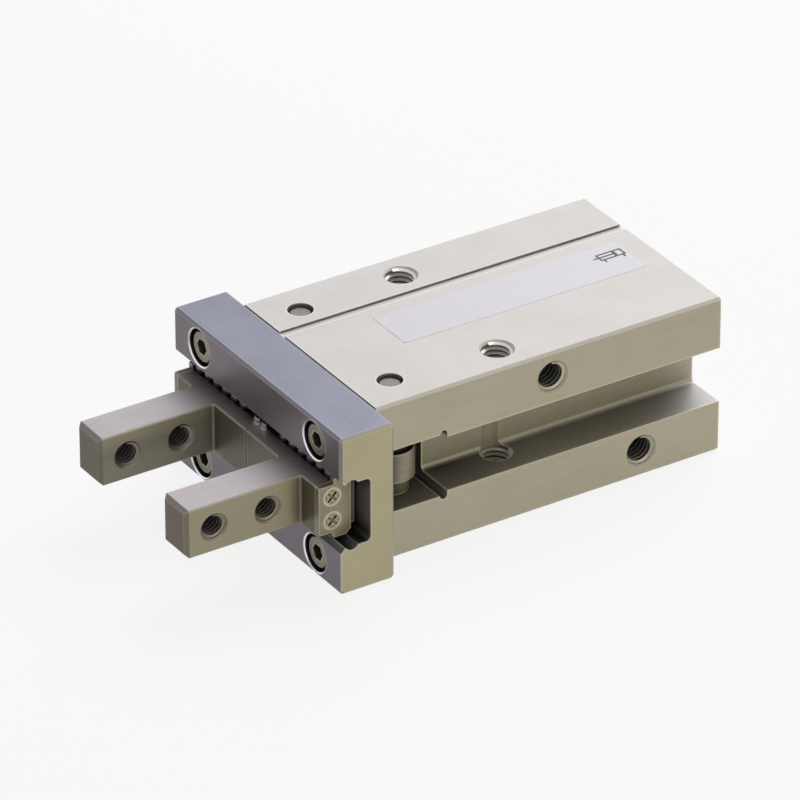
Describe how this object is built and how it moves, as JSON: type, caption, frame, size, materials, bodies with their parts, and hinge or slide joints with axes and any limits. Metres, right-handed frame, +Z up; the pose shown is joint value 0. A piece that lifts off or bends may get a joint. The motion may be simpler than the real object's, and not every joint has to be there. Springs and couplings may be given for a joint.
{
  "type": "pneumatic parallel gripper",
  "caption": "Compact pneumatic parallel gripper: H-section cylinder body, ball-guided jaws driven by bell-crank levers, and two straight fingers with threaded holes.",
  "frame": {"origin": "centre of the rear mounting face, on the cylinder's axis", "axes": "+X along the opening direction with the air ports on that side, +Y out of the rear face, away from the fingers, +Z up through the top face"},
  "size_m": [0.029, 0.057, 0.0164],
  "materials": {
    "anodised_aluminium": "satin",
    "guide_steel": "ground",
    "finger_steel": "ground",
    "plate_steel": "satin",
    "screw_steel": "satin",
    "shaft_steel": "ground",
    "ball_steel": "polished",
    "lever_steel": "satin",
    "rod_steel": "polished",
    "spring_steel": "oxide",
    "cap_resin": "moulded",
    "seal_rubber": "matt",
    "magnet_rubber": "matt",
    "bumper_urethane": "satin"
  },
  "bodies": {
    "housing": {"body": "anodised_aluminium", "guide": "guide_steel", "guide_screws": "screw_steel", "lever_shafts": "shaft_steel", "end_cap": "cap_resin", "cap_gasket": "seal_rubber", "retaining_ring": "spring_steel", "rod_seal": "seal_rubber"},
    "piston": {"piston": "anodised_aluminium", "piston_seal": "seal_rubber", "magnet_ring": "magnet_rubber", "bumper": "bumper_urethane", "piston_rod": "rod_steel", "rod_end": "rod_steel"},
    "finger_left": {"finger_left": "finger_steel", "end_plate_left": "plate_steel", "plate_screws_left": "screw_steel", "ball_stops_left": "shaft_steel"},
    "lever_left": {"lever_left": "lever_steel"},
    "upper_balls_left": {"upper_balls_left": "ball_steel"},
    "lower_balls_left": {"lower_balls_left": "ball_steel"},
    "finger_right": {"finger_right": "finger_steel", "end_plate_right": "plate_steel", "plate_screws_right": "screw_steel", "ball_stops_right": "shaft_steel"},
    "lever_right": {"lever_right": "lever_steel"},
    "upper_balls_right": {"upper_balls_right": "ball_steel"},
    "lower_balls_right": {"lower_balls_right": "ball_steel"}
  },
  "joints": [
    {"name": "piston_slide", "type": "slide", "parent": "housing", "child": "piston", "axis": [0, -1, 0], "range_m": [0, 0.00141]},
    {"name": "finger_left_slide", "type": "slide", "parent": "housing", "child": "finger_left", "axis": [-1, 0, 0], "range_m": [0, 0.002]},
    {"name": "lever_left_hinge", "type": "hinge", "parent": "housing", "child": "lever_left", "pos_m": [-0.0077, -0.034, 0], "axis": [0, 0, -1], "range_deg": [0, 15.97]},
    {"name": "upper_balls_left_slide", "type": "slide", "parent": "housing", "child": "upper_balls_left", "axis": [-1, 0, 0], "range_m": [0, 0.001]},
    {"name": "lower_balls_left_slide", "type": "slide", "parent": "housing", "child": "lower_balls_left", "axis": [-1, 0, 0], "range_m": [0, 0.001]},
    {"name": "finger_right_slide", "type": "slide", "parent": "housing", "child": "finger_right", "axis": [1, 0, 0], "range_m": [0, 0.002]},
    {"name": "lever_right_hinge", "type": "hinge", "parent": "housing", "child": "lever_right", "pos_m": [0.0077, -0.034, 0], "axis": [0, 0, 1], "range_deg": [0, 15.97]},
    {"name": "upper_balls_right_slide", "type": "slide", "parent": "housing", "child": "upper_balls_right", "axis": [1, 0, 0], "range_m": [0, 0.001]},
    {"name": "lower_balls_right_slide", "type": "slide", "parent": "housing", "child": "lower_balls_right", "axis": [1, 0, 0], "range_m": [0, 0.001]}
  ],
  "couplings": [
    {"joint": "finger_left_slide", "follows": "piston_slide", "ratio": 1.4187},
    {"joint": "lever_left_hinge", "follows": "piston_slide", "rad_per_m": 197.68},
    {"joint": "upper_balls_left_slide", "follows": "piston_slide", "ratio": 0.70936},
    {"joint": "lower_balls_left_slide", "follows": "piston_slide", "ratio": 0.70936},
    {"joint": "finger_right_slide", "follows": "piston_slide", "ratio": 1.4187},
    {"joint": "lever_right_hinge", "follows": "piston_slide", "rad_per_m": 197.68},
    {"joint": "upper_balls_right_slide", "follows": "piston_slide", "ratio": 0.70936},
    {"joint": "lower_balls_right_slide", "follows": "piston_slide", "ratio": 0.70936}
  ]
}
